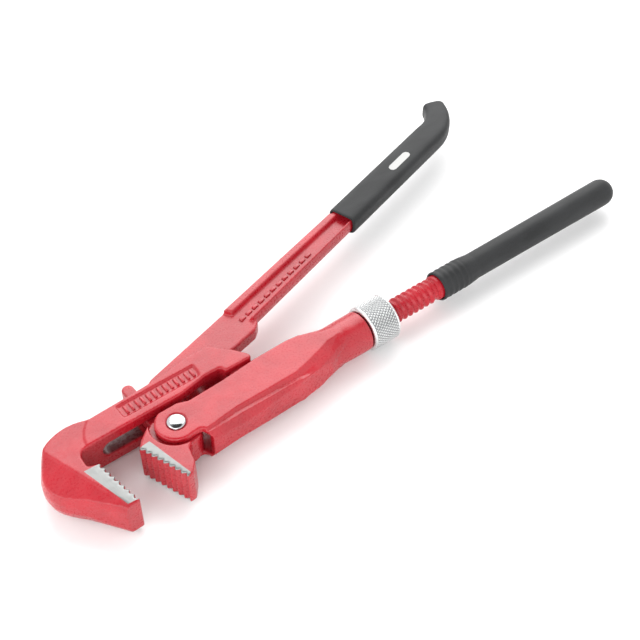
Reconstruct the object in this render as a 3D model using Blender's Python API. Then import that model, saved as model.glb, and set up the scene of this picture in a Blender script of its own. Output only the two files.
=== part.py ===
"""Swedish-pattern pipe wrench (90 degree jaws, 1 inch size), built as separate real pieces.

Plan coordinates are millimetres measured from the pivot pin of the spindle:
x runs back along the spindle toward the grips, y across toward the hooked handle,
z up from the mid-plane of the housing.  Each mesh is scaled to metres and the whole
tool is set down with the bottom centre of its bounding box on the world origin.
"""
import bpy
import bmesh
from math import atan2, copysign, cos, hypot, pi, radians, sin, tan
from mathutils import Vector

MM = 0.001
GAP = 0.3                      # running clearance between neighbouring pieces

# ---------------------------------------------------------------- driving dimensions
BODY_HALF = 9.5                # half thickness of shank, housing plates and jaws
CAVITY_HALF = 6.5              # half height of the space between the housing plates
EDGE = 0.9                     # rounding of forged edges

RIVET_X = -41.0                # jaw rivet, on the spindle axis
RIVET_RADIUS = 3.1
RIVET_HEAD_RADIUS = 4.1
RIVET_HEAD_HEIGHT = 1.1        # dome above the housing plates
RIVET_SINK = 0.6               # counterbore depth under the rivet heads
EAR_RADIUS = 9.4               # rounded front of the housing plates

LUG_RADIUS = 7.0               # shank lug and spindle eye round the pivot pin
EYE_HALF = 2.9                 # half thickness of the flat spindle eye
PIN_RADIUS = 3.0

CAVITY_END = 25.0              # rear end of the space between the housing plates
OPEN_TRAVEL = 22.0             # housing travel from the modelled opening to fully open

THREAD_RADIUS = 6.0
THREAD_DEPTH = 1.05
THREAD_PITCH = 3.3
THREAD_START = 42.0
THREAD_END = 101.0
SHAFT_RADIUS = 4.6             # plain front shaft of the spindle, below the thread root
GRIP_BAR_RADIUS = 4.8          # spindle bar inside the grip
SHOULDER_END = 120.0           # full-diameter shoulder behind the thread
SPINDLE_END = 220.2

COLLAR_RADIUS = 9.7
COLLAR_END = 58.0
SPIGOT_RADIUS = 7.9            # housing spigot that carries the nut
SPIGOT_END = 64.5
RING_X = 61.4                  # middle of the snap ring
RING_HALF = 0.55
NUT_START = COLLAR_END + GAP
NUT_END = 73.3
NUT_RADIUS = 10.85

HANDLE_ANGLE = radians(17.2)   # hooked handle against the spindle axis
HANDLE_WIDTH = 13.2
HANDLE_BOTTOM = 2.3            # the top is flush with the top of the shank
FAR_FLANGE = 4.0               # rims left beside the recessed web
NEAR_FLANGE = 1.4
WEB_DEPTH = 2.5
DRAFT = 0.45                   # forged sides of the handle lean in from the parting line
HANDLE_FLARE = 1.3             # extra width at the root, fading out towards the cover
COVERED_WIDTH = 12.3           # width of the bar inside the cover
ROOT_TOP = BODY_HALF - WEB_DEPTH - 0.05   # the root is level with the web
ROOT_BOTTOM = 0.0
HANDLE_ROOT = (17.6, 28.5)     # near edge of the handle where the root ends
HANDLE_STRAIGHT = 162.0        # from there to the start of the end bend
BEND_ANGLE = radians(57.0)     # of the cover; the bar inside stops a little earlier
BAR_BEND_ANGLE = radians(40.0)
BEND_RADIUS = 24.0             # centre line radius of the end bend
HANDLE_TAIL = 4.0              # straight bit after the bend
TAIL_TAPER = 2.6               # narrowing of the bar's inner side round the bend
SLEEVE_START = 80.0            # along the handle, from HANDLE_ROOT
SLEEVE_WALL = 1.6
SLEEVE_HALF_WIDTH = 7.7

TOOTH_PITCH = 3.0
TOOTH_DEPTH = 1.6
HOOK_FACE_TOP = (-76.6, 1.2)   # tooth tips of the hook jaw, shank end
HOOK_FACE_END = (-72.6, -23.4)
JAW_FACE_TOP = (-60.6, -2.6)   # tooth tips of the lower jaw, shank end
JAW_FACE_END = (-52.2, -26.0)

SHANK_NEAR = 11.4              # shank face toward the lower jaw
SLOT_HALF = 4.2                # half height of the slot through the shank
SLOT_FRONT = -70.5
PANEL_DEPTH = 0.8
TONGUE_HALF = 3.7              # half thickness of the lower jaw's tongue
TONGUE_FRONT = -48.8
TONGUE_REAR = -43.3
TONGUE_TIP = 34.5
SLOT_REAR = TONGUE_REAR + OPEN_TRAVEL + 3.5

RED_PAINT = ("red_paint", (0.62, 0.02, 0.035), 0.42, 0.0)
ZINC = ("zinc_plate", (0.78, 0.79, 0.80), 0.28, 1.0)
CHROME = ("chrome_rivet", (0.85, 0.86, 0.87), 0.12, 1.0)
VINYL = ("dark_vinyl", (0.055, 0.058, 0.062), 0.62, 0.0)
SPRING_STEEL = ("spring_steel", (0.35, 0.35, 0.36), 0.35, 1.0)


# ---------------------------------------------------------------- outlines
def offset_corners(corners, inset):
    """Move every side of a counter-clockwise outline inward; fillet radii follow."""
    moved = []
    count = len(corners)
    for i, (x, y, radius) in enumerate(corners):
        px, py, _ = corners[i - 1]
        nx, ny, _ = corners[(i + 1) % count]
        ax, ay = unit(x - px, y - py)
        bx, by = unit(nx - x, ny - y)
        turn = ax * by - ay * bx
        # the two inward normals meet where the offset sides cross
        mx, my = unit(-ay - by, ax + bx)
        reach = inset / (mx * -ay + my * ax)
        new_radius = radius - inset if turn > 0 else radius + inset
        moved.append((x + mx * reach, y + my * reach, max(new_radius, 0.05) if radius else 0.0))
    return moved


def unit(dx, dy):
    length = hypot(dx, dy)
    return dx / length, dy / length


def fillet(corners, steps=5):
    """Turn (x, y, radius) corners into a point list with round corners."""
    points = []
    count = len(corners)
    for i, (x, y, radius) in enumerate(corners):
        if radius <= 0.0:
            points.append((x, y))
            continue
        ax, ay = unit(corners[i - 1][0] - x, corners[i - 1][1] - y)
        bx, by = unit(corners[(i + 1) % count][0] - x, corners[(i + 1) % count][1] - y)
        half = 0.5 * atan2(abs(ax * by - ay * bx), ax * bx + ay * by)
        reach = radius / tan(half)
        mx, my = unit(ax + bx, ay + by)
        centre_x = x + mx * radius / sin(half)
        centre_y = y + my * radius / sin(half)
        start = atan2(y + ay * reach - centre_y, x + ax * reach - centre_x)
        end = atan2(y + by * reach - centre_y, x + bx * reach - centre_x)
        sweep = (end - start + pi) % (2 * pi) - pi
        for k in range(steps + 1):
            angle = start + sweep * k / steps
            points.append((centre_x + radius * cos(angle), centre_y + radius * sin(angle)))
    return points


def arc(cx, cy, radius, start, end, steps):
    """Points on a circle from one angle to another, in degrees."""
    angles = [radians(start + (end - start) * k / steps) for k in range(steps + 1)]
    return [(cx + radius * cos(a), cy + radius * sin(a)) for a in angles]


def smooth_curve(points, steps):
    """Catmull-Rom curve that passes through all the points."""
    guides = [points[0]] + points + [points[-1]]
    curve = []
    for a, b, c, d in zip(guides, guides[1:], guides[2:], guides[3:]):
        for k in range(steps):
            t = k / steps
            curve.append(tuple(b[i] + 0.5 * t * (c[i] - a[i])
                               + t ** 2 * (a[i] - 2.5 * b[i] + 2.0 * c[i] - 0.5 * d[i])
                               + t ** 3 * (1.5 * (b[i] - c[i]) + 0.5 * (d[i] - a[i]))
                               for i in (0, 1)))
    return curve + [points[-1]]


def along(origin, angle, forward, left=0.0):
    """A plan point reached by going forward and left from an origin."""
    x = origin[0] + forward * cos(angle) - left * sin(angle)
    y = origin[1] + forward * sin(angle) + left * cos(angle)
    return x, y


# ---------------------------------------------------------------- mesh building
def finish(bm, name):
    """Make a mesh object, still in millimetres, from a bmesh."""
    bmesh.ops.recalc_face_normals(bm, faces=bm.faces)
    mesh = bpy.data.meshes.new(name)
    bm.to_mesh(mesh)
    bm.free()
    body = bpy.data.objects.new(name, mesh)
    bpy.context.scene.collection.objects.link(body)
    return body


def loft(rings, name, closed_loop=False):
    """Skin equal-length rings of points; cap both ends or join last to first."""
    bm = bmesh.new()
    loops = [[bm.verts.new(p) for p in ring] for ring in rings]
    count = len(loops[0])
    pairs = list(zip(loops, loops[1:]))
    if closed_loop:
        pairs.append((loops[-1], loops[0]))
    for low, high in pairs:
        for j in range(count):
            k = (j + 1) % count
            bm.faces.new((low[j], low[k], high[k], high[j]))
    if not closed_loop:
        bm.faces.new(loops[0])
        bm.faces.new(loops[-1])
    return finish(bm, name)


def prism(corners, low, high, name="tool", edge=0.0, steps=5, draft=0.0):
    """Upright solid on a plan outline, its rims rounded by edge.

    With draft, the outline is that of the middle and the sides lean in from there.
    """
    if edge == 0.0:
        levels = [(low, draft), (high, draft)]
    else:
        turns = [radians(a) for a in (0, 30, 60, 90)]
        lower = [(low + edge * (1 - sin(t)), draft + edge * (1 - cos(t)))
                 for t in reversed(turns)]
        upper = [(high - edge * (1 - sin(t)), draft + edge * (1 - cos(t))) for t in turns]
        levels = lower + upper
    if draft:
        levels.insert(len(levels) // 2, ((low + high) / 2, 0.0))
    rings = []
    for z, inset in levels:
        outline = fillet(offset_corners(corners, inset) if inset else corners, steps)
        rings.append([(x, y, z) for x, y in outline])
    return loft(rings, name)


def spin(profile, steps, name="tool", closed_loop=False, radius_at=None):
    """Body of revolution about the spindle axis from (x, radius) stations."""
    rings = []
    for x, radius in profile:
        ring = []
        for j in range(steps):
            turn = 2 * pi * j / steps
            r = radius_at(x, turn) if radius is None else radius
            ring.append((x, r * cos(turn), r * sin(turn)))
        rings.append(ring)
    return loft(rings, name, closed_loop)


def upright_spin(cx, cy, profile, steps, name="tool"):
    """Body of revolution about a vertical axis from (z, radius) stations."""
    rings = []
    for z, radius in profile:
        turns = [2 * pi * j / steps for j in range(steps)]
        rings.append([(cx + radius * cos(t), cy + radius * sin(t), z) for t in turns])
    return loft(rings, name)


def combine(body, tool, operation):
    """Apply an exact Boolean and drop the tool."""
    modifier = body.modifiers.new("cut", "BOOLEAN")
    modifier.solver = "EXACT"
    modifier.operation = operation
    modifier.object = tool
    bake(body)
    bpy.data.objects.remove(tool)
    return body


def bake(body):
    """Replace the mesh by its evaluated one, with stray slivers dissolved."""
    depsgraph = bpy.context.evaluated_depsgraph_get()
    mesh = bpy.data.meshes.new_from_object(body.evaluated_get(depsgraph))
    body.modifiers.clear()
    body.data = mesh
    bm = bmesh.new()
    bm.from_mesh(mesh)
    bmesh.ops.remove_doubles(bm, verts=bm.verts, dist=0.0005)
    bmesh.ops.dissolve_degenerate(bm, edges=bm.edges, dist=0.0005)
    bm.to_mesh(mesh)
    bm.free()


def add(body, tool):
    return combine(body, tool, "UNION")


def cut(body, tool):
    return combine(body, tool, "DIFFERENCE")


def slanted_block(start, end, z_edge, slope_deg, side):
    """Cutter whose slanted face drops away from the line start-end at z_edge.

    side is +1 for the top of a body and -1 for its underside; the face falls
    toward the left of the line.
    """
    ux, uy = unit(end[0] - start[0], end[1] - start[1])
    lx, ly = -uy, ux
    drop = tan(radians(slope_deg))
    rings = []
    for t in (-60.0, hypot(end[0] - start[0], end[1] - start[1]) + 60.0):
        cx = start[0] + ux * t
        cy = start[1] + uy * t
        ring = [(cx, cy, side * z_edge),
                (cx + lx * 60, cy + ly * 60, side * (z_edge - 60 * drop)),
                (cx + lx * 60, cy + ly * 60, side * (z_edge + 20)),
                (cx, cy, side * (z_edge + 20))]
        rings.append(ring)
    return loft(rings, "slant")


def tooth_comb(tip_start, tip_end):
    """Cutter for a row of V grooves; teeth point to the right of tip_start-tip_end."""
    length = hypot(tip_end[0] - tip_start[0], tip_end[1] - tip_start[1])
    ux, uy = unit(tip_end[0] - tip_start[0], tip_end[1] - tip_start[1])
    ox, oy = uy, -ux
    count = int(length / TOOTH_PITCH)
    margin = 0.5 * (length - count * TOOTH_PITCH)

    def at(forward, out):
        return tip_start[0] + ux * forward + ox * out, tip_start[1] + uy * forward + oy * out

    points = [at(-4.0, 4.0), at(-4.0, 0.0)]
    for i in range(count):
        points.append(at(margin + i * TOOTH_PITCH + 0.15, 0.0))
        points.append(at(margin + (i + 0.62) * TOOTH_PITCH, -TOOTH_DEPTH))
        points.append(at(margin + (i + 1) * TOOTH_PITCH - 0.15, 0.0))
    points += [at(length + 4.0, 0.0), at(length + 4.0, 4.0)]
    return prism([(x, y, 0) for x, y in points], -30.0, 30.0)


# ---------------------------------------------------------------- the pieces
def head_curve():
    """Outer side of the hook head, from the shank round to just before the tip."""
    return smooth_curve([(-68.9, 23.8), (-76.0, 25.8), (-83.8, 25.4), (-91.5, 22.0),
                         (-97.4, 15.2), (-100.1, 7.6), (-99.2, 0.2), (-95.2, -5.8),
                         (-88.6, -13.0), (-82.7, -20.3)], 3)


def forging_outline():
    """Hook head and shank, counter-clockwise from the outer tip corner."""
    tip_x, tip_y = HOOK_FACE_END
    corners = [(-79.9, -24.0, 1.0),
               (tip_x, tip_y - 0.4, 1.0),
               HOOK_FACE_TOP + (0.6,),
               (-81.6, 2.8, 1.8),
               (-80.9, SHANK_NEAR, 3.5),
               (-31.0, SHANK_NEAR, 8.0),
               (-17.5, 13.8, 6.0),
               (-9.6, 13.6, 1.6),
               (-9.0, 10.6, 1.2),
               (6.4, 10.6, 1.6),
               (1.0, 18.8, 2.0),
               (-7.6, 28.0, 4.0),
               (-20.0, 27.8, 6.0),
               (-30.0, 25.8, 8.0),
               (-42.0, 24.8, 8.0)]
    return corners + [(x, y, 0.0) for x, y in head_curve()]


def head_bevel():
    """Envelope that bevels the outer side of the head and stands clear of the rest."""
    bend = head_curve()[12:-4]
    first = along(bend[0], atan2(bend[0][1] - bend[1][1], bend[0][0] - bend[1][0]), 80.0)
    heading = atan2(bend[-1][1] - bend[-2][1], bend[-1][0] - bend[-2][0])
    last = along(bend[-1], heading - radians(8.0), 40.0)
    outline = [first] + bend + [last, (-40.0, -120.0), (400.0, -120.0), (400.0, 200.0)]
    corners = [(x, y, 0.0) for x, y in outline]
    rings = []
    for z, inset in ((-10.0, 2.6), (-6.3, 1.1), (-2.2, 0.0), (2.2, 0.0), (6.3, 1.1), (10.0, 2.6)):
        rings.append([(x, y, z) for x, y, _ in offset_corners(corners, inset)])
    return loft(rings, "bevel")


def handle_point(forward, left):
    """Plan point measured along the hooked handle from its near root corner."""
    return along(HANDLE_ROOT, HANDLE_ANGLE, forward, left)


def handle_width(forward):
    """Width of the bare bar at a station, a little more towards the root."""
    return HANDLE_WIDTH + HANDLE_FLARE * (1.0 - forward / SLEEVE_START)


def bend_centre():
    """Centre of the arc at the end of the hooked handle."""
    return handle_point(HANDLE_STRAIGHT, COVERED_WIDTH / 2 + BEND_RADIUS)


def handle_side(left, tail, taper):
    """One long side of the covered bar from the start of the end bend to its tail."""
    points = []
    for k in range(7):
        heading = HANDLE_ANGLE + BAR_BEND_ANGLE * k / 6
        reach = BEND_RADIUS + COVERED_WIDTH / 2 - left + taper * k / 6
        points.append(along(bend_centre(), heading, 0.0, -reach))
    points.append(along(points[-1], heading, tail))
    return points


def handle_outline(start, grow, tail):
    """Covered bar from a start station to its round end, widened all round by grow."""
    near = handle_side(-grow, tail, 0.0)
    far = handle_side(COVERED_WIDTH + grow, tail, TAIL_TAPER)
    end_radius = 3.2 + grow
    corners = [handle_point(start, COVERED_WIDTH + grow) + (0.0,),
               handle_point(start, -grow) + (0.0,)]
    corners += [point + (0.0,) for point in near[:-1]]
    corners += [near[-1] + (end_radius,), far[-1] + (end_radius,)]
    corners += [point + (0.0,) for point in reversed(far[:-1])]
    return corners


def bar_outline():
    """The whole bar: bare and flared up to the cover, then stepped in under it."""
    shoulder = SLEEVE_START - GAP
    covered = handle_outline(shoulder, 0.0, HANDLE_TAIL)
    bare = [handle_point(shoulder, handle_width(shoulder)) + (0.0,),
            handle_point(-3.5, handle_width(-3.5)) + (0.0,),
            handle_point(0.8, 0.0) + (0.0,)]
    return covered[:1] + bare + covered[2:]


def root_outline():
    """Slab between the shank and the hooked handle, lower than both."""
    return [(-30.0, 16.0, 1.0),
            (2.2, 21.0, 0.8),
            (16.6, 24.6, 1.8),
            (20.0, 27.6, 1.6),
            handle_point(4.0, 0.2) + (0.0,),
            handle_point(2.0, HANDLE_WIDTH + 1.2) + (0.0,),
            (-36.5, 28.2, 6.0),
            (-46.0, 22.0, 1.0)]


def head_slope(side):
    """The outer part of the hook head falls away from a ridge line."""
    return slanted_block((-77.8, -22.0), (-92.1, 19.4), BODY_HALF - 0.5, 14.0, side)


def head_step(side):
    """The head is a hair thinner than the shank, along a curved line."""
    outline = [(-110, 40), (-110, -40), (-60, -40), (-60, 5), (-77.0, 9.0), (-75.4, 16.0),
               (-73.1, 19.9), (-68.9, 24.2), (-66, 40)]
    low, high = sorted((side * (BODY_HALF - 0.3), side * (BODY_HALF + 5)))
    return prism([(x, y, 0.0) for x, y in outline], low, high)


def shank_panel(side):
    """Shallow recessed panel on the flat of the shank."""
    outline = [(-56.8, 15.2, 0.8), (-18.6, 15.2, 2.0), (-18.2, 22.3, 0.8), (-57.2, 22.3, 0.8)]
    low, high = sorted((side * (BODY_HALF - PANEL_DEPTH), side * (BODY_HALF + 5)))
    return prism(outline, low, high)


def shank_slot():
    """Round-ended window through the shank for the tongue of the lower jaw."""
    outline = arc(SLOT_REAR - SLOT_HALF, 0.0, SLOT_HALF, -90, 90, 10)
    outline += arc(SLOT_FRONT + SLOT_HALF, 0.0, SLOT_HALF, 90, 270, 10)
    return loft([[(x, y, z) for x, z in outline] for y in (2.0, 50.0)], "slot")


def web_recess(side):
    """I-beam recess of the handle: open at the root on top, ramped on the underside."""
    face = BODY_HALF if side > 0 else HANDLE_BOTTOM
    floor = face - side * WEB_DEPTH
    stations = [(-6.0, floor)] if side > 0 else [(8.0, face + side * 0.01), (12.0, floor)]
    rings = []
    for forward, z in stations + [(SLEEVE_START + 4.0, floor)]:
        flange = handle_width(forward) - FAR_FLANGE
        section = [(NEAR_FLANGE + 0.6, z), (flange - 1.0, z), (flange, face),
                   (flange + 1.0, face + side * 5.0), (NEAR_FLANGE - 0.6, face + side * 5.0),
                   (NEAR_FLANGE, face)]
        rings.append([handle_point(forward, left) + (height,) for left, height in section])
    return loft(rings, "web")


def lug_cheek(side):
    """One cheek of the shank's fork, round the pivot pin."""
    outline = arc(0.0, 0.0, LUG_RADIUS, 180, 360, 16) + [(3.6, 15.0), (-LUG_RADIUS, 15.0)]
    low, high = sorted((side * (EYE_HALF + GAP), side * (CAVITY_HALF - GAP)))
    return prism([(x, y, 0.0) for x, y in outline], low, high)


def make_hook_jaw_handle():
    """Hook jaw, slotted shank, pivot fork and hooked I-beam handle: one forging."""
    body = prism(forging_outline(), -BODY_HALF, BODY_HALF, "hook_jaw_handle", EDGE)
    combine(body, head_bevel(), "INTERSECT")
    add(body, prism(root_outline(), ROOT_BOTTOM, ROOT_TOP, edge=0.8))
    add(body, prism(bar_outline(), HANDLE_BOTTOM, BODY_HALF, edge=0.7, draft=DRAFT))
    for side in (1, -1):
        cut(body, head_step(side))
        cut(body, head_slope(side))
        cut(body, shank_panel(side))
        cut(body, web_recess(side))
        add(body, lug_cheek(side))
    cut(body, shank_slot())
    cut(body, upright_spin(0.0, 0.0, [(-20, PIN_RADIUS + 0.1), (20, PIN_RADIUS + 0.1)], 32))
    cut(body, tooth_comb(HOOK_FACE_END, HOOK_FACE_TOP))
    return body


def sleeve_stations():
    """(centre, heading, width scale, thickness scale) along the hooked handle's cover."""
    middle = COVERED_WIDTH / 2
    stations = [(handle_point(SLEEVE_START, middle), HANDLE_ANGLE, 0.95, 0.93),
                (handle_point(SLEEVE_START + 0.4, middle), HANDLE_ANGLE, 0.99, 0.98)]
    for k in range(5):
        forward = SLEEVE_START + 1.2 + (HANDLE_STRAIGHT - 6.0 - SLEEVE_START) * k / 4
        stations.append((handle_point(forward, middle), HANDLE_ANGLE, 1.0, 1.0))
    for k in range(9):
        # round the bend only the inner side comes in
        narrowing = 1.5 * k / 8
        heading = HANDLE_ANGLE + BEND_ANGLE * k / 8
        centre = along(bend_centre(), heading, 0.0, -BEND_RADIUS - narrowing)
        stations.append((centre, heading, 1.0 - narrowing / SLEEVE_HALF_WIDTH, 1.0))
    tail_start, heading, tail_width = stations[-1][:3]
    for k in range(8):
        # rounded end, falling away mostly on the outer side
        turn = radians(11 * k)
        centre = along(tail_start, heading, 0.4 + 3.4 * sin(turn), 1.8 * (1 - cos(turn)))
        stations.append((centre, heading, tail_width * cos(turn) ** 0.8, cos(turn) ** 0.6))
    return stations


def make_hook_handle_sleeve():
    """Dipped vinyl cover, rounded in section, over the hooked end of the forging."""
    half_height = (BODY_HALF - HANDLE_BOTTOM) / 2 + SLEEVE_WALL
    middle_z = (BODY_HALF + HANDLE_BOTTOM) / 2
    rings = []
    for centre, heading, width, height in sleeve_stations():
        ring = []
        for k in range(40):
            turn = 2 * pi * k / 40
            across = copysign(abs(cos(turn)) ** 0.5, cos(turn))
            up = copysign(abs(sin(turn)) ** 0.5, sin(turn))
            x, y = along(centre, heading, 0.0, SLEEVE_HALF_WIDTH * width * across)
            ring.append((x, y, middle_z + half_height * height * up))
        rings.append(ring)
    body = loft(rings, "hook_handle_sleeve")
    inner = handle_outline(SLEEVE_START - 6.0, GAP, HANDLE_TAIL + GAP)
    return cut(body, prism(inner, HANDLE_BOTTOM - GAP, BODY_HALF + GAP, edge=0.8, draft=DRAFT))


def make_lower_jaw():
    """Toothed jaw on the rivet; its tongue passes through the shank slot."""
    half = BODY_HALF - 0.2
    block = [JAW_FACE_TOP + (0.6,),
             JAW_FACE_END + (0.8,),
             (-49.2, -25.8, 1.5),
             (-45.4, -21.2, 2.5),
             (-43.6, -14.0, 3.0),
             (-39.0, -10.0, 0.5),
             (-39.0, 0.0, 0.5),
             (-44.0, 8.0, 1.0),
             (-48.6, 8.0, 1.0),
             (-57.4, 1.2, 2.0)]
    body = prism(block, -half, half, "lower_jaw", EDGE)
    inner = CAVITY_HALF - GAP
    for low, high in ((inner, 20.0), (-20.0, -inner)):
        seat = [(low, EAR_RADIUS + 2.4), (high, EAR_RADIUS + 2.4)]
        cut(body, upright_spin(RIVET_X, 0.0, seat, 48))
    heel = arc(RIVET_X - 0.5, -1.6, 10.2, 110, 430, 32)
    add(body, prism([(x, y, 0.0) for x, y in heel], -inner, inner))
    tongue = [(TONGUE_FRONT, 0.0, 0.0), (TONGUE_REAR, 0.0, 0.0),
              (TONGUE_REAR, TONGUE_TIP, 2.6), (TONGUE_FRONT, TONGUE_TIP, 2.6)]
    add(body, prism(tongue, -TONGUE_HALF, TONGUE_HALF, edge=0.6))
    hole = RIVET_RADIUS + GAP
    cut(body, upright_spin(RIVET_X, 0.0, [(-20, hole), (20, hole)], 32))
    return cut(body, tooth_comb(JAW_FACE_TOP, JAW_FACE_END))


def make_jaw_rivet():
    """Domed rivet through both ears and the lower jaw."""
    seat = BODY_HALF - RIVET_SINK + GAP
    dome = BODY_HALF + RIVET_HEAD_HEIGHT - seat
    head = [(seat + dome * sin(t), RIVET_HEAD_RADIUS * cos(t))
            for t in (radians(a) for a in (0, 20, 40, 60, 78))]
    profile = [(-z, r) for z, r in reversed(head)]
    profile += [(-seat, RIVET_RADIUS), (seat, RIVET_RADIUS)] + head
    return upright_spin(RIVET_X, 0.0, profile, 28, "jaw_rivet")


def housing_outline():
    """Plan of the flat part of the housing, counter-clockwise from the ear."""
    ear = arc(RIVET_X, 0.0, EAR_RADIUS, 112, 284, 22)
    near = [(-34.0, -8.8, 2.0),
            (-32.3, -14.4, 1.2),
            (-10.0, -14.0, 8.0),
            (14.0, -12.7, 8.0),
            (34.0, -10.2, 8.0),
            (46.0, -6.0, 2.0)]
    far = [(46.0, 4.5, 2.0),
           (33.0, 8.0, 8.0),
           (22.0, 9.3, 8.0),
           (5.0, 9.0, 8.0),
           (-13.7, 7.4, 8.0),
           (-30.4, 6.8, 3.0),
           (-35.2, 8.7, 3.0)]
    return [(x, y, 0.0) for x, y in ear] + near + far


def housing_cavity():
    """Space between the plates: open at the front and toward the shank."""
    return prism([(-60.0, -25.0, 0.0), (-32.4, -25.0, 0.0), (-31.9, -10.6, 1.0),
                  (CAVITY_END, -9.3, 2.0), (CAVITY_END, 30.0, 0.0), (-60.0, 30.0, 0.0)],
                 -CAVITY_HALF, CAVITY_HALF)


def housing_shoulder(side):
    """Cutter for the outer shoulder: a step off the flat top, a groove, a rib, then a bevel."""
    rings = []
    for x, rim, step, drop, edge, rib in ((-60.0, -10.6, 0.7, 1.4, -12.9, 0.9),
                                          (-31.0, -10.3, 0.7, 1.4, -12.9, 0.9),
                                          (-17.0, -8.7, 0.9, 1.7, -12.6, 1.1),
                                          (0.0, -8.8, 1.1, 2.0, -12.7, 1.2),
                                          (14.0, -8.7, 1.4, 2.2, -12.4, 1.0),
                                          (24.0, -6.2, 2.3, 1.8, -13.8, 0.0),
                                          (36.0, -2.4, 3.4, 2.0, -16.0, 0.0),
                                          (48.0, -1.0, 4.2, 1.6, -16.0, 0.0)):
        slope = tan(radians(22.0))
        edge_z = BODY_HALF - drop - (rim - step - edge) * slope
        crest = (edge + 0.8, edge_z + 0.8 * slope + rib)
        section = [(rim, BODY_HALF), (rim - step, BODY_HALF - drop), crest, (edge, edge_z),
                   (edge - 2.2, edge_z - 3.4), (-30.0, edge_z - 3.4), (-30.0, 20.0), (rim, 20.0)]
        rings.append([(x, y, side * z) for y, z in section])
    return loft(rings, "shoulder")


def make_jaw_housing():
    """Clevis and barrel in one piece, with the spigot that carries the nut."""
    body = prism(housing_outline(), -BODY_HALF, BODY_HALF, "jaw_housing", EDGE)
    envelope = [(-80.0, 40.0), (12.0, 19.0), (22.0, 14.6), (30.0, 11.8), (38.0, 10.0), (48.0, 9.3)]
    combine(body, spin(envelope, 72), "INTERSECT")
    for side in (1, -1):
        cut(body, housing_shoulder(side))
    barrel = [(24.0, 6.0), (29.0, 8.3), (34.0, 9.1), (40.0, 9.3), (48.0, COLLAR_RADIUS - 0.1),
              (COLLAR_END - 0.7, COLLAR_RADIUS), (COLLAR_END, COLLAR_RADIUS - 0.7),
              (COLLAR_END, SPIGOT_RADIUS), (RING_X - RING_HALF - GAP, SPIGOT_RADIUS),
              (RING_X - RING_HALF - GAP, SPIGOT_RADIUS - 0.8),
              (RING_X + RING_HALF + GAP, SPIGOT_RADIUS - 0.8),
              (RING_X + RING_HALF + GAP, SPIGOT_RADIUS), (SPIGOT_END, SPIGOT_RADIUS)]
    add(body, spin(barrel, 72))
    cut(body, housing_cavity())
    bore = THREAD_RADIUS + GAP
    cut(body, spin([(CAVITY_END - 3.0, bore), (SPIGOT_END + 5.0, bore)], 40))
    hole = RIVET_RADIUS + GAP
    seat = RIVET_HEAD_RADIUS + GAP
    floor = BODY_HALF - RIVET_SINK
    cut(body, upright_spin(RIVET_X, 0.0, [(-20, seat), (-floor, seat), (-floor, hole),
                                          (floor, hole), (floor, seat), (20, seat)], 32))
    return body


def thread_radius(x, turn):
    """Right-hand rounded thread: the crest climbs one pitch per turn."""
    phase = 2 * pi * x / THREAD_PITCH - turn
    run_in = min(1.0, (x - THREAD_START) / 2.0, (THREAD_END - x) / 2.0)
    crest = 0.5 + 0.5 * cos(phase)
    return THREAD_RADIUS - THREAD_DEPTH + THREAD_DEPTH * crest * max(run_in, 0.0)


def make_threaded_spindle():
    """Flat eye, plain shaft, rounded thread, shoulder and grip bar."""
    root = THREAD_RADIUS - THREAD_DEPTH
    profile = [(LUG_RADIUS + 0.8, 2.4), (LUG_RADIUS + 2.2, SHAFT_RADIUS),
               (THREAD_START - 1.0, SHAFT_RADIUS)]
    steps = round((THREAD_END - THREAD_START) / THREAD_PITCH * 4)
    for k in range(steps + 1):
        profile.append((THREAD_START + (THREAD_END - THREAD_START) * k / steps, None))
    profile += [(THREAD_END + 0.3, root), (THREAD_END + 0.8, THREAD_RADIUS),
                (SHOULDER_END, THREAD_RADIUS), (SHOULDER_END + 2.0, GRIP_BAR_RADIUS),
                (SPINDLE_END - 1.0, GRIP_BAR_RADIUS), (SPINDLE_END, GRIP_BAR_RADIUS - 1.0)]
    body = spin(profile, 24, "threaded_spindle", radius_at=thread_radius)
    eye = arc(0.0, 0.0, LUG_RADIUS - 0.3, 40, 320, 24)
    eye += [(LUG_RADIUS + 8.0, -3.6), (LUG_RADIUS + 8.0, 3.6)]
    add(body, prism([(x, y, 0.0) for x, y in eye], -EYE_HALF, EYE_HALF))
    hole = PIN_RADIUS + GAP
    return cut(body, upright_spin(0.0, 0.0, [(-20, hole), (20, hole)], 32))


def make_spindle_pivot_pin():
    """Pin pressed through the fork of the shank and the spindle eye."""
    half = CAVITY_HALF - 2 * GAP
    return upright_spin(0.0, 0.0, [(-half, PIN_RADIUS - 0.4), (-half + 0.4, PIN_RADIUS),
                                   (half - 0.4, PIN_RADIUS), (half, PIN_RADIUS - 0.4)],
                        32, "spindle_pivot_pin")


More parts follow.
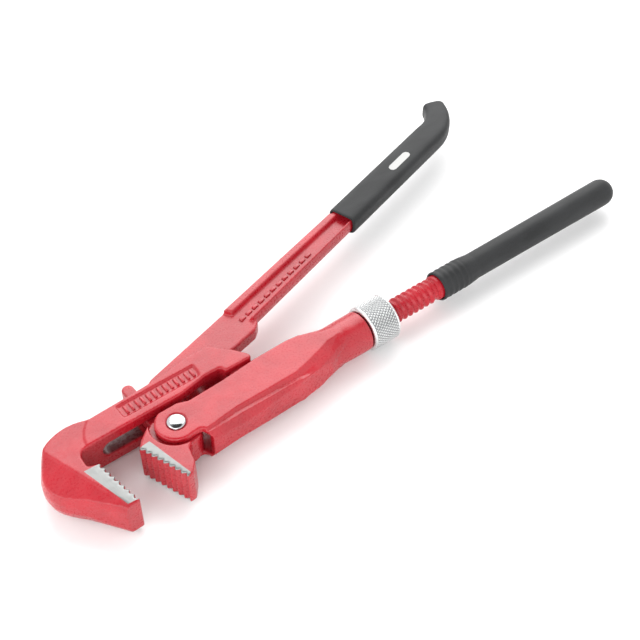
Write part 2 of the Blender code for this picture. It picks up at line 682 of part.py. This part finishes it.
def make_adjusting_nut():
    """Knurled nut, captive on the housing spigot and threaded on the spindle."""
    counterbore = SPIGOT_RADIUS + GAP
    bore = THREAD_RADIUS + GAP + 0.3
    groove = counterbore + 0.8
    thread_front = SPIGOT_END + 0.8
    outside = [(NUT_START, counterbore), (NUT_START, NUT_RADIUS - 0.8),
               (NUT_START + 0.6, NUT_RADIUS - 0.3), (NUT_START + 1.3, NUT_RADIUS - 0.3),
               (NUT_START + 1.7, NUT_RADIUS), (NUT_END - 1.7, NUT_RADIUS),
               (NUT_END - 1.3, NUT_RADIUS - 0.3), (NUT_END - 0.6, NUT_RADIUS - 0.3),
               (NUT_END, NUT_RADIUS - 0.8), (NUT_END, bore)]
    steps = 12
    threads = [(NUT_END - 0.4 - (NUT_END - 0.8 - thread_front) * k / steps, None)
               for k in range(steps + 1)]
    inside = [(thread_front, bore), (thread_front, counterbore),
              (RING_X + RING_HALF + GAP, counterbore), (RING_X + RING_HALF + GAP, groove),
              (RING_X - RING_HALF - GAP, groove), (RING_X - RING_HALF - GAP, counterbore)]
    return spin(outside + threads + inside, 48, "adjusting_nut", closed_loop=True,
                radius_at=lambda x, turn: thread_radius(x, turn) + GAP)


def make_nut_snap_ring():
    """Open spring ring half in the spigot groove and half in the nut groove."""
    inner = SPIGOT_RADIUS - 0.8 + GAP
    outer = SPIGOT_RADIUS + 0.8
    rings = []
    for k in range(41):
        turn = radians(8 + 344 * k / 40)
        section = [(RING_X - RING_HALF, inner), (RING_X + RING_HALF, inner),
                   (RING_X + RING_HALF, outer), (RING_X - RING_HALF, outer)]
        rings.append([(x, r * cos(turn), r * sin(turn)) for x, r in section])
    return loft(rings, "nut_snap_ring")


def make_spindle_grip_sleeve():
    """Dipped vinyl cover: wide over the shoulder, slim over the bar, round end."""
    mouth = THREAD_END + 2.4
    inside = [(SPINDLE_END + GAP, GRIP_BAR_RADIUS - 1.0 + GAP),
              (SPINDLE_END - 1.0, GRIP_BAR_RADIUS + GAP),
              (SHOULDER_END + 2.2, GRIP_BAR_RADIUS + GAP),
              (SHOULDER_END + 0.2, THREAD_RADIUS + GAP), (mouth, THREAD_RADIUS + GAP)]
    end = SPINDLE_END + GAP + 1.6
    cap = [(end - 6.8 + 6.8 * sin(t), 6.9 * cos(t) + 0.1)
           for t in (radians(a) for a in (15, 30, 45, 60, 74, 85))]
    ribs = []
    for k in range(round((SHOULDER_END - mouth - 1.8) / THREAD_PITCH * 6)):
        step = k / 6
        ribs.append((mouth + 1.2 + step * THREAD_PITCH, 7.2 + 0.18 * cos(2 * pi * step)))
    outside = [(mouth, 6.9), (mouth + 0.5, 7.3)] + ribs
    outside += [(SHOULDER_END, 7.2), (SHOULDER_END + 3.0, 6.9), (SHOULDER_END + 6.5, 6.45),
                (160.0, 6.6), (190.0, 6.8), (end - 6.8, 7.0)] + cap
    return spin(inside + outside, 40, "spindle_grip_sleeve")


# ---------------------------------------------------------------- assembly
def paint(body, material):
    name, colour, roughness, metallic = material
    finish_material = bpy.data.materials.new(body.name + "_" + name)
    finish_material.use_nodes = True
    shader = finish_material.node_tree.nodes["Principled BSDF"]
    shader.inputs["Base Color"].default_value = colour + (1.0,)
    shader.inputs["Roughness"].default_value = roughness
    shader.inputs["Metallic"].default_value = metallic
    body.data.materials.clear()
    body.data.materials.append(finish_material)


def place(bodies):
    """Scale to metres, put each origin on its joint axis, centre the tool on the ground."""
    points = [v.co for body, _ in bodies for v in body.data.vertices]
    low = Vector([min(p[i] for p in points) for i in range(3)])
    high = Vector([max(p[i] for p in points) for i in range(3)])
    ground = Vector(((low.x + high.x) / 2, (low.y + high.y) / 2, low.z))
    for body, pivot in bodies:
        for vertex in body.data.vertices:
            vertex.co = (vertex.co - Vector(pivot)) * MM
        body.location = (Vector(pivot) - ground) * MM
        body.data.shade_smooth()
        body.data.set_sharp_from_angle(angle=radians(32))


def main():
    for old in list(bpy.data.objects):
        bpy.data.objects.remove(old)
    pin_axis = (0.0, 0.0, 0.0)
    rivet_axis = (RIVET_X, 0.0, 0.0)
    nut_axis = (NUT_START, 0.0, 0.0)
    plan = [(make_hook_jaw_handle, RED_PAINT, pin_axis),
            (make_hook_handle_sleeve, VINYL, pin_axis),
            (make_spindle_pivot_pin, SPRING_STEEL, pin_axis),
            (make_threaded_spindle, RED_PAINT, pin_axis),
            (make_spindle_grip_sleeve, VINYL, pin_axis),
            (make_jaw_housing, RED_PAINT, pin_axis),
            (make_jaw_rivet, CHROME, rivet_axis),
            (make_lower_jaw, RED_PAINT, rivet_axis),
            (make_adjusting_nut, ZINC, nut_axis),
            (make_nut_snap_ring, SPRING_STEEL, nut_axis)]
    bodies = []
    for make, material, pivot in plan:
        body = make()
        paint(body, material)
        bodies.append((body, pivot))
    place(bodies)


main()
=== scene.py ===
"""Looks of the Swedish-pattern pipe wrench: soft forged edges, enamel, knurled nut, vinyl grips."""
from math import cos, pi, radians, sin

import bpy
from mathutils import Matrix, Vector


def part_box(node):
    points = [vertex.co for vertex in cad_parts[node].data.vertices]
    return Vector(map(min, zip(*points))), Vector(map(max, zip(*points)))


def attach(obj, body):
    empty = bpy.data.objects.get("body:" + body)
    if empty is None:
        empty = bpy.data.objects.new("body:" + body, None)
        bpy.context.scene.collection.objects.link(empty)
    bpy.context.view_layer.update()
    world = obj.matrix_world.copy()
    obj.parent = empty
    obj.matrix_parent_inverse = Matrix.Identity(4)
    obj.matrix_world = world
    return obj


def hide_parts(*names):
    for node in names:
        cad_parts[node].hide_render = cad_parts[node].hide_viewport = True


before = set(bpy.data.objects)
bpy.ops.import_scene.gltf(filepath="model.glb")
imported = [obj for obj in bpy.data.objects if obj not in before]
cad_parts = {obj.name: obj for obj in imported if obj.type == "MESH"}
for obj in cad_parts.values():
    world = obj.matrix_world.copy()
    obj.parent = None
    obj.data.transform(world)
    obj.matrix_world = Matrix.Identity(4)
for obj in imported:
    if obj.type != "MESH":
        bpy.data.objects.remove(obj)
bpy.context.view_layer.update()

MM = 0.001
PIN = (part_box("spindle_pivot_pin")[0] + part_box("spindle_pivot_pin")[1]) / 2
RIVET = (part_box("jaw_rivet")[0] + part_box("jaw_rivet")[1]) / 2
NUT_LOW, NUT_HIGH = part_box("adjusting_nut")
RING_LOW, RING_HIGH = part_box("nut_snap_ring")

NUT_RADIUS = (NUT_HIGH.z - NUT_LOW.z) / 2 / MM
# Sizes in millimetres; plan positions are measured from the spindle's pivot pin.
BODY_HALF = 9.5  # half the thickness of the head and the shank
PANEL_FLOOR = 8.7  # height of the shank panel's floor above the mid-plane
WEB_FLOOR = 7.0  # height of the handle web above the mid-plane
SLOT_HALF = 4.2  # half height of the slot through the shank
HANDLE_ROOT = (17.6, 28.5)  # near corner of the hooked handle where it leaves the shank
HANDLE_ANGLE = radians(17.2)  # between the hooked handle and the spindle

THREAD_BORE = 6.5  # radius inside the nut where it runs on the spindle
COUNTERBORE = 8.4  # radius inside the nut where it runs on the housing
COUNTERBORE_END = 7.0  # mm from the front of the nut
RING_ROOM = 0.3  # clearance round the snap ring in its groove
KNURL_DEPTH = 0.42  # mm from the crests to the bottom of the grooves
RIM = 1.0  # smooth width at each end of the nut, in mm
KNURL_COUNT = 42  # diamonds round the nut
KNURL_LEAD = 2.0  # mm along the nut for one diamond

# Linear colours.
RED = (0.41, 0.009, 0.019)
STEEL = (0.28, 0.285, 0.28)
# dark red painted shade for the inside of the shank's slot
SLOT_SHADE_RED = (0.10, 0.016, 0.018)
ZINC = (0.70, 0.71, 0.71)
# darker zinc used as painted shade in the knurl's grooves
ZINC_GROOVE_SHADE = (0.15, 0.155, 0.16)
CHROME = (0.52, 0.53, 0.54)
VINYL = (0.030, 0.031, 0.032)
PRINT_WHITE = (0.52, 0.52, 0.51)


def plan(x, y, z=0.0):
    """World point for millimetres measured from the middle of the spindle's pivot pin."""
    return PIN + Vector((x, y, z)) * MM


def on_handle(forward, left, z=0.0):
    """World point measured along the hooked handle from its near root corner."""
    x = HANDLE_ROOT[0] + forward * cos(HANDLE_ANGLE) - left * sin(HANDLE_ANGLE)
    y = HANDLE_ROOT[1] + forward * sin(HANDLE_ANGLE) + left * cos(HANDLE_ANGLE)
    return plan(x, y, z)


# ---------------------------------------------------------------- shapes
def soften(node_name, cell, passes):
    """Rounds the edges of a CAD node: an even fine mesh, then smoothing."""
    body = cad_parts[node_name]
    even = body.modifiers.new("even_mesh", "REMESH")
    even.mode = "VOXEL"
    even.voxel_size = cell * MM
    even.use_smooth_shade = True
    smooth = body.modifiers.new("soft_edges", "SMOOTH")
    smooth.factor = 0.5
    smooth.iterations = passes


def mesh_piece(name, points, faces):
    """A smooth-shaded mesh whose points are already in world metres."""
    mesh = bpy.data.meshes.new(name)
    mesh.from_pydata(points, [], faces)
    mesh.shade_smooth()
    piece = bpy.data.objects.new(name, mesh)
    bpy.context.collection.objects.link(piece)
    return piece


def lathe(name, centre, axis, profile, steps, relief=None):
    """Closed ring-shaped or capped solid turned about X or Z; profile is (along, radius) in mm."""
    points = []
    for along, radius in profile:
        for k in range(steps):
            turn = 2 * pi * k / steps
            r = radius - (relief(along, radius, turn) if relief else 0.0)
            across, up = r * cos(turn), r * sin(turn)
            offset = (along, across, up) if axis == "X" else (across, up, along)
            points.append(centre + Vector(offset) * MM)
    faces = []
    rings = len(profile)
    closed = rings if profile[0][1] > 0 else rings - 1
    for ring in range(closed):
        here, there = ring * steps, (ring + 1) % rings * steps
        for k in range(steps):
            n = (k + 1) % steps
            faces.append((here + k, here + n, there + n, there + k))
    return mesh_piece(name, points, faces)


def triangle_wave(value):
    """1 at whole numbers and 0 half-way between them."""
    return abs(2.0 * (value % 1.0) - 1.0)


def knurl(along, radius, turn):
    """Depth in mm of the diamond knurl on the outside; it fades out before the two rims."""
    if radius < NUT_RADIUS:
        return 0.0
    length = (NUT_HIGH.x - NUT_LOW.x) / MM
    edge = min(along, length - along)
    strength = min(1.0, max(0.0, (edge - RIM) / 0.4))
    around = KNURL_COUNT * turn / (2 * pi)
    lead = along / KNURL_LEAD
    crest = min(triangle_wave(around + lead), triangle_wave(around - lead))
    return KNURL_DEPTH * strength * (1.0 - min(1.0, 1.35 * crest))


def make_knurled_nut():
    """Nut with a diamond knurl from rim to rim and a groove inside for the snap ring."""
    length = (NUT_HIGH.x - NUT_LOW.x) / MM
    radius = NUT_RADIUS
    centre = Vector((NUT_LOW.x, PIN.y, PIN.z))
    front = [(0.0, COUNTERBORE), (0.0, radius - 1.1), (0.3, radius - 0.6), (0.7, radius - 0.15)]
    steps = 96
    middle = [(RIM + (length - 2 * RIM) * k / steps, radius) for k in range(steps + 1)]
    back = [(length - along, r) for along, r in reversed(front[1:])]
    groove_start = (RING_LOW.x - NUT_LOW.x) / MM - RING_ROOM
    groove_end = (RING_HIGH.x - NUT_LOW.x) / MM + RING_ROOM
    groove_radius = (RING_HIGH.z - RING_LOW.z) / 2 / MM + RING_ROOM
    bore = [(length, THREAD_BORE), (COUNTERBORE_END, THREAD_BORE), (COUNTERBORE_END, COUNTERBORE),
            (groove_end, COUNTERBORE), (groove_end, groove_radius),
            (groove_start, groove_radius), (groove_start, COUNTERBORE)]
    profile = front + middle + back + bore
    return lathe("knurled_nut", centre, "X", profile, KNURL_COUNT * 9, knurl)


def make_rivet():
    """Rivet with a low polished dome at both ends."""
    dome = [(9.7 + 0.9 * cos(radians(90) * k / 12), 3.95 * sin(radians(90) * k / 12))
            for k in range(11, 0, -1)]
    head = [(9.0, 3.1), (9.0, 4.0), (9.2, 4.1), (9.5, 4.06)] + dome + [(10.6, 0.0)]
    profile = [(-along, radius) for along, radius in reversed(head)] + head
    return lathe("polished_rivet", RIVET, "Z", profile, 96)


def raised_bars(name, centres, direction, width, length, height):
    """Row of plain raised bars with sloping sides, in the place of the maker's lettering."""
    along = Vector(direction).normalized()
    across = Vector((-along.y, along.x, 0.0))
    up = Vector((0.0, 0.0, 1.0))
    points, faces = [], []
    for centre in centres:
        first = len(points)
        for inset, rise in ((0.0, -0.2), (0.0, 0.1), (0.12, height - 0.1), (0.3, height)):
            for u, v in ((-1, -1), (1, -1), (1, 1), (-1, 1)):
                offset = along * u * (width / 2 - inset) + across * v * (length / 2 - inset)
                points.append(centre + (offset + up * rise) * MM)
        for ring in range(3):
            low = first + 4 * ring
            for k in range(4):
                n = (k + 1) % 4
                faces.append((low + k, low + n, low + 4 + n, low + 4 + k))
        faces.append((first + 3, first + 2, first + 1, first))
        faces.append((first + 12, first + 13, first + 14, first + 15))
    return mesh_piece(name, points, faces)


def make_shank_bars():
    """Row of bars across the recessed panel of the shank."""
    centres = [plan(-54.0 + 2.75 * k, 18.7, PANEL_FLOOR) for k in range(13)]
    return raised_bars("shank_panel_bars", centres, (1, 0, 0), 1.3, 4.2, 0.75)


def make_web_bars():
    """Row of short dashes along the recessed web of the hooked handle."""
    centres = [on_handle(-0.5 + 4.6 * k, 5.1, WEB_FLOOR) for k in range(12)]
    heading = (cos(HANDLE_ANGLE), sin(HANDLE_ANGLE), 0.0)
    return raised_bars("handle_web_bars", centres, heading, 3.2, 1.8, 0.7)


# ---------------------------------------------------------------- materials
class Shader:
    """Short calls for building the node tree of one Principled material."""

    def __init__(self, name, roughness, metallic=0.0, gloss=0.5):
        """Starts a material; `gloss` is its specular level."""
        self.material = bpy.data.materials.new(name)
        self.material.use_nodes = True
        self.tree = self.material.node_tree
        self.surface = self.tree.nodes["Principled BSDF"]
        self.surface.inputs["Roughness"].default_value = roughness
        self.surface.inputs["Metallic"].default_value = metallic
        self.surface.inputs["Specular IOR Level"].default_value = gloss
        self.place = self.add("ShaderNodeTexCoord").outputs["Object"]

    def add(self, kind, inputs=None, **settings):
        """Adds a node; an input is either a link from a socket or a constant."""
        made = self.tree.nodes.new(kind)
        for name, value in settings.items():
            setattr(made, name, value)
        for socket, value in (inputs or {}).items():
            if isinstance(value, bpy.types.NodeSocket):
                self.tree.links.new(value, made.inputs[socket])
            else:
                made.inputs[socket].default_value = value
        return made

    def drive(self, socket, value):
        """Links a value into the Principled surface."""
        self.tree.links.new(value, self.surface.inputs[socket])

    def calculate(self, operation, first, second):
        """One arithmetic step between two numbers or sockets."""
        made = self.add("ShaderNodeMath", {0: first, 1: second}, operation=operation)
        return made.outputs[0]

    def noise(self, feature, detail=3.0, stretch=(1.0, 1.0, 1.0), angle=0.0):
        """Noise from 0 to 1 whose blotches are about `feature` millimetres wide."""
        where = self.add("ShaderNodeMapping", {"Vector": self.place, "Scale": stretch,
                                               "Rotation": (0.0, 0.0, angle)})
        made = self.add("ShaderNodeTexNoise", {"Vector": where.outputs[0], "Detail": detail,
                                               "Scale": 1.0 / (feature * MM)})
        return made.outputs["Fac"]

    def span(self, value, low, high, to_low=0.0, to_high=1.0):
        """Maps low..high onto to_low..to_high, held at both ends; low may be the larger."""
        made = self.add("ShaderNodeMapRange", {"Value": value, "From Min": low, "From Max": high,
                                               "To Min": to_low, "To Max": to_high})
        return made.outputs["Result"]

    def blend(self, factor, first, second):
        """Colour or number blend; plain tuples are colours."""
        made = self.add("ShaderNodeMix", {"Factor": factor}, data_type="RGBA")
        for index, value in ((6, first), (7, second)):
            if isinstance(value, bpy.types.NodeSocket):
                self.tree.links.new(value, made.inputs[index])
            else:
                made.inputs[index].default_value = tuple(value) + (1.0,)
        return made.outputs[2]

    def bumps(self, *layers):
        """Stacks (height, depth in mm) layers into the surface normal."""
        normal = None
        for height, depth in layers:
            inputs = {"Height": height, "Distance": depth * MM, "Strength": 1.0}
            if normal:
                inputs["Normal"] = normal
            normal = self.add("ShaderNodeBump", inputs).outputs[0]
        self.drive("Normal", normal)

    def inside(self, corners, edge=0.12):
        """1 within a convex counter-clockwise plan outline in mm, 0 outside."""
        mask = None
        for k, (x, y) in enumerate(corners):
            next_x, next_y = corners[(k + 1) % len(corners)]
            inward = Vector((y - next_y, next_x - x, 0.0)).normalized()
            distance = self.add("ShaderNodeVectorMath", {0: self.place, 1: inward},
                                operation="DOT_PRODUCT").outputs["Value"]
            offset = inward.dot(plan(x, y))
            side = self.span(distance, offset, offset + edge * MM)
            mask = self.calculate("MULTIPLY", mask, side) if mask else side
        return mask

    def beyond(self, height):
        """1 where the surface lies further than `height` mm from the mid-plane."""
        z = self.add("ShaderNodeSeparateXYZ", {0: self.place}).outputs["Z"]
        away = self.calculate("ABSOLUTE", self.calculate("SUBTRACT", z, PIN.z), 0.0)
        return self.span(away, (height - 0.05) * MM, (height + 0.05) * MM)

    def axis_distance(self):
        """Distance of the surface from the spindle's axis."""
        offset = self.add("ShaderNodeVectorMath", {0: self.place, 1: PIN}, operation="SUBTRACT")
        across = self.add("ShaderNodeVectorMath", {0: offset.outputs[0], 1: (0.0, 1.0, 1.0)},
                          operation="MULTIPLY")
        return self.add("ShaderNodeVectorMath", {0: across.outputs[0]},
                        operation="LENGTH").outputs["Value"]


def paint_layers(shader):
    """Colour, roughness and relief of enamel over a forging."""
    clouds = shader.noise(14.0, 4.0)
    grain = shader.noise(1.2, 4.0)
    deep = tuple(c * 0.86 for c in RED)
    bright = (min(1.0, RED[0] * 1.08), RED[1] * 1.3, RED[2] * 1.2)
    colour = shader.blend(shader.span(clouds, 0.35, 0.65), deep, bright)
    roughness = shader.span(grain, 0.3, 0.7, 0.24, 0.34)
    relief = ((shader.noise(7.0, 2.0), 0.28), (grain, 0.045))
    return colour, roughness, relief


def enamel(name, gloss=0.6):
    """Red enamel over a forging."""
    shader = Shader(name, 0.35, gloss=gloss)
    colour, roughness, relief = paint_layers(shader)
    shader.drive("Base Color", colour)
    shader.drive("Roughness", roughness)
    shader.bumps(*relief)
    return shader.material


def enamel_with_ground_band(name, corners, grind_angle, slot=None):
    """Enamel ground bare beside the teeth, with painted shade darkening the inside of the shank's
    slot.
    """
    shader = Shader(name, 0.35, gloss=0.6)
    colour, roughness, relief = paint_layers(shader)
    bare = shader.calculate("MULTIPLY", shader.inside(corners), shader.beyond(BODY_HALF - 0.75))
    lines = shader.noise(0.35, 2.0, (1.0, 0.08, 1.0), grind_angle)
    steel = shader.blend(shader.span(lines, 0.3, 0.7), tuple(c * 0.85 for c in STEEL), STEEL)
    # painted shade: the inside of the shank's slot is coloured a dark red
    if slot:
        within = shader.calculate("SUBTRACT", 1.0, shader.beyond(SLOT_HALF + 0.2))
        slot_shade = shader.calculate("MULTIPLY", shader.inside(slot, 1.0), within)
        colour = shader.blend(slot_shade, colour, SLOT_SHADE_RED)
    shader.drive("Base Color", shader.blend(bare, colour, steel))
    shader.drive("Metallic", bare)
    steel_roughness = shader.span(lines, 0.3, 0.7, 0.38, 0.5)
    both = shader.add("ShaderNodeMix", {0: bare, 2: roughness, 3: steel_roughness})
    shader.drive("Roughness", both.outputs[0])
    shader.bumps(*relief)
    return shader.material


def bright_zinc():
    """Zinc plate, bright on the rims and the knurl's crests, with painted shade darkening its
    grooves.
    """
    shader = Shader("bright_zinc", 0.3, 1.0)
    speckle = shader.noise(0.6, 3.0)
    bright = shader.blend(shader.span(speckle, 0.3, 0.7), tuple(c * 0.9 for c in ZINC), ZINC)
    below_crest = shader.span(shader.axis_distance(), (NUT_RADIUS - 0.1) * MM,
                              (NUT_RADIUS - KNURL_DEPTH) * MM)
    x = shader.add("ShaderNodeSeparateXYZ", {0: shader.place}).outputs["X"]
    past_front = shader.span(x, NUT_LOW.x + (RIM - 0.2) * MM, NUT_LOW.x + RIM * MM)
    before_back = shader.span(x, NUT_HIGH.x - (RIM - 0.2) * MM, NUT_HIGH.x - RIM * MM)
    knurled = shader.calculate("MULTIPLY", past_front, before_back)
    # painted shade: the knurl's grooves are coloured darker than its crests
    groove_shade = shader.calculate("MULTIPLY", knurled, below_crest)
    shader.drive("Base Color", shader.blend(groove_shade, bright, ZINC_GROOVE_SHADE))
    shader.drive("Roughness", shader.span(speckle, 0.3, 0.7, 0.24, 0.36))
    shader.bumps((speckle, 0.01))
    return shader.material


def polished_chrome():
    """Bright chrome with a faint ripple."""
    shader = Shader("polished_chrome", 0.12, 1.0)
    ripple = shader.noise(2.4, 2.0)
    colour = shader.blend(shader.span(ripple, 0.3, 0.7), tuple(c * 0.93 for c in CHROME), CHROME)
    shader.drive("Base Color", colour)
    shader.drive("Roughness", shader.span(ripple, 0.3, 0.7, 0.09, 0.16))
    shader.bumps((ripple, 0.03))
    return shader.material


def oiled_steel():
    """Dark hardened steel of the pin and the snap ring."""
    shader = Shader("oiled_steel", 0.4, 1.0)
    speckle = shader.noise(0.8, 3.0)
    shader.drive("Base Color", shader.blend(speckle, (0.16, 0.16, 0.17), (0.30, 0.30, 0.31)))
    shader.drive("Roughness", shader.span(speckle, 0.3, 0.7, 0.3, 0.5))
    shader.bumps((speckle, 0.01))
    return shader.material


def dipped_vinyl(name, print_outline=None):
    """Satin vinyl with a fine pebble and faint long streaks; optionally a plain white print."""
    shader = Shader(name, 0.5, gloss=0.2)
    pebble = shader.noise(0.7, 4.0)
    streaks = shader.noise(9.0, 3.0, (0.35, 1.0, 1.0))
    dull = tuple(c * 0.66 for c in VINYL)
    mottle = shader.blend(0.35, streaks, pebble)
    colour = shader.blend(shader.span(mottle, 0.38, 0.62), dull, VINYL)
    if print_outline:
        top_only = shader.beyond(BODY_HALF)
        printed = shader.calculate("MULTIPLY", shader.inside(print_outline), top_only)
        colour = shader.blend(printed, colour, PRINT_WHITE)
    shader.drive("Base Color", colour)
    shader.drive("Roughness", shader.span(pebble, 0.3, 0.7, 0.42, 0.56))
    shader.bumps((streaks, 0.12), (pebble, 0.03))
    return shader.material


def studio_paper():
    """Matt white paper under the tool."""
    shader = Shader("studio_paper", 0.9)
    fibre = shader.noise(3.0, 4.0)
    shader.drive("Base Color", shader.blend(fibre, (0.92, 0.92, 0.92), (0.95, 0.95, 0.95)))
    shader.bumps((fibre, 0.02))
    return shader.material


def rounded_bar(middle, left, length, width):
    """Plan outline of a round-ended bar lying along the hooked handle."""
    corners = []
    reach = (length - width) / 2
    for end, start in ((1, -90), (-1, 90)):
        for k in range(5):
            turn = radians(start + 45 * k)
            x, y, _ = (on_handle(middle + end * reach + width / 2 * cos(turn),
                                 left + width / 2 * sin(turn)) - PIN) / MM
            corners.append((x, y))
    return corners


def dress(piece, material):
    """Gives a piece one material in every slot."""
    slots = piece.data.materials
    if not slots:
        slots.append(material)
    for k in range(len(slots)):
        piece.material_slots[k].link = "OBJECT"
        piece.material_slots[k].material = material


# ---------------------------------------------------------------- studio
def camera_back(azimuth, elevation):
    """Unit vector from the subject towards a camera; azimuth 0 looks along +Y."""
    a, e = radians(azimuth), radians(elevation)
    return Vector((sin(a) * cos(e), -cos(a) * cos(e), sin(e)))


def aim(thing, target):
    """Turns a camera or a lamp to face a point."""
    thing.rotation_euler = (target - thing.location).to_track_quat("-Z", "Y").to_euler()


def make_camera():
    """Camera in front of the jaws, looking down along the spindle toward the grips."""
    target = plan(47.0, 16.5)
    camera = bpy.data.objects.new("camera", bpy.data.cameras.new("camera"))
    camera.data.lens = 64.8
    camera.data.sensor_width = 36.0
    camera.data.clip_start = 0.01
    camera.location = target + camera_back(-37.5, 47.0) * 0.531
    bpy.context.collection.objects.link(camera)
    aim(camera, target)
    bpy.context.scene.camera = camera


def make_softbox(name, azimuth, elevation, distance, width, power):
    """Square area lamp aimed at the tool; sizes in metres, power in watts."""
    lamp = bpy.data.lights.new(name, "AREA")
    lamp.shape = "SQUARE"
    lamp.size = width
    lamp.energy = power
    box = bpy.data.objects.new(name, lamp)
    target = plan(40.0, 15.0)
    box.location = target + camera_back(azimuth, elevation) * distance
    bpy.context.collection.objects.link(box)
    aim(box, target)


def make_studio():
    """Pale floor, three soft lamps and the light tent."""
    half = 2.5  # half the width of the floor, in metres
    corners = [(-half, -half, 0.0), (half, -half, 0.0), (half, half, 0.0), (-half, half, 0.0)]
    floor = mesh_piece("floor", corners, [(0, 1, 2, 3)])
    dress(floor, studio_paper())
    make_softbox("back_softbox", 142.5, 42.0, 1.1, 1.1, 11.0)
    make_softbox("front_softbox", -45.0, 14.0, 1.2, 0.8, 6.0)
    make_softbox("left_softbox", -100.0, 40.0, 1.2, 0.7, 3.0)
    make_tent()
    bpy.context.scene.view_settings.view_transform = "Standard"


def make_tent():
    """White light tent all round, with a dark opening overhead."""
    world = bpy.data.worlds.new("light_tent")
    world.use_nodes = True
    tree = world.node_tree
    direction = tree.nodes.new("ShaderNodeTexCoord")
    axes = tree.nodes.new("ShaderNodeSeparateXYZ")
    opening = tree.nodes.new("ShaderNodeMapRange")
    opening.inputs["From Min"].default_value = 0.81
    opening.inputs["From Max"].default_value = 0.93
    opening.inputs["To Min"].default_value = 1.3
    opening.inputs["To Max"].default_value = 0.08
    tree.links.new(direction.outputs["Generated"], axes.inputs[0])
    tree.links.new(axes.outputs["Z"], opening.inputs["Value"])
    tree.nodes["Background"].inputs["Color"].default_value = (1.0, 1.0, 1.0, 1.0)
    tree.links.new(opening.outputs["Result"], tree.nodes["Background"].inputs["Strength"])
    bpy.context.scene.world = world


# ---------------------------------------------------------------- assembly
def finish_cad_nodes():
    """Rounds the edges of the CAD nodes and gives every kept node its material."""
    hook_band = [(-84.0, 1.5), (-77.8, -22.7), (-72.6, -23.2), (-76.8, 1.2)]
    jaw_band = [(-61.4, -2.2), (-53.0, -26.6), (-49.9, -25.0), (-55.0, -1.6)]
    slot = [(-70.8, 11.9), (-50.0, 11.9), (-50.0, 26.0), (-70.8, 26.0)]
    soften("hook_jaw_handle", 0.38, 7)
    soften("jaw_housing", 0.34, 4)
    soften("lower_jaw", 0.32, 6)
    soften("threaded_spindle", 0.28, 2)
    soften("hook_handle_sleeve", 0.42, 8)
    soften("spindle_grip_sleeve", 0.40, 4)
    plain = enamel("red_enamel")
    vinyl = dipped_vinyl("dark_vinyl")
    printed_vinyl = dipped_vinyl("printed_vinyl", rounded_bar(131.0, 5.2, 17.0, 4.2))
    steel = oiled_steel()
    finishes = {
        "hook_jaw_handle": enamel_with_ground_band("hook_enamel", hook_band, radians(8), slot),
        "lower_jaw": enamel_with_ground_band("jaw_enamel", jaw_band, radians(-10)),
        "jaw_housing": plain,
        "threaded_spindle": enamel("spindle_enamel", 0.35),
        "hook_handle_sleeve": printed_vinyl,
        "spindle_grip_sleeve": vinyl,
        "spindle_pivot_pin": steel,
        "nut_snap_ring": steel,
    }
    for name, material in finishes.items():
        dress(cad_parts[name], material)


def add_new_pieces():
    """Adds the nut, the rivet and the raised bars, each riding on its body."""
    nut = make_knurled_nut()
    dress(nut, bright_zinc())
    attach(nut, "nut_body")
    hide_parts("adjusting_nut")

    rivet = make_rivet()
    dress(rivet, polished_chrome())
    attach(rivet, "housing_body")
    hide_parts("jaw_rivet")

    raised = enamel("raised_enamel")
    for bars in (make_shank_bars(), make_web_bars()):
        dress(bars, raised)
        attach(bars, "hook_body")


def main():
    """Builds the scene."""
    finish_cad_nodes()
    add_new_pieces()
    make_camera()
    make_studio()


main()
